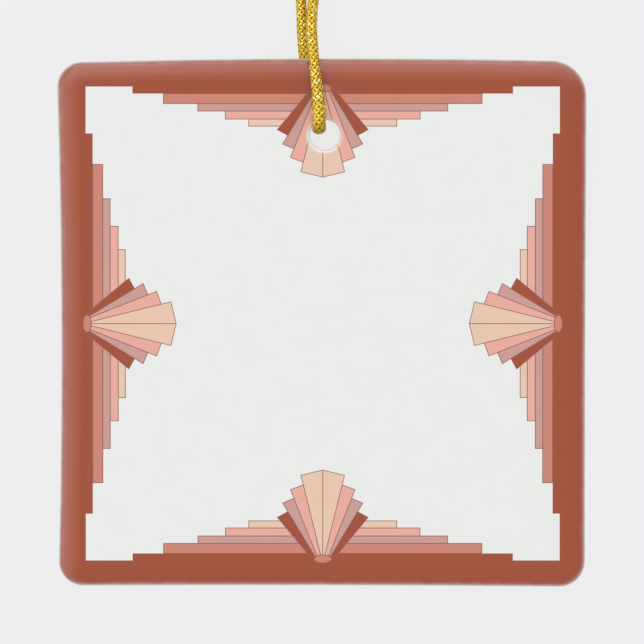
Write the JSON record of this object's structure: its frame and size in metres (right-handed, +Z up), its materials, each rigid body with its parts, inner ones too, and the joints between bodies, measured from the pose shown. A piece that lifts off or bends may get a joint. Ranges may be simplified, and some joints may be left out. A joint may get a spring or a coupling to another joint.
{
  "type": "hanging ceramic ornament tile",
  "caption": "Square glazed ceramic tile with soft pillow edges, a printed stepped border and folded fans, and a gold braided cord loop through a hole near its upper edge to hang it by.",
  "frame": {"origin": "middle of the tile's box, on the surface that the tile lies on", "axes": "+X to the right along the printed face, +Y from the tile's lower edge to its upper edge and on to the cord's knot, +Z up, out of the printed face"},
  "size_m": [0.074, 0.133, 0.0069],
  "materials": {
    "glazed_tile": "gloss",
    "gold_cord": "satin"
  },
  "bodies": {
    "root": {"tile": "glazed_tile", "hanging_cord": "gold_cord", "cord_knot": "gold_cord"}
  },
  "joints": []
}
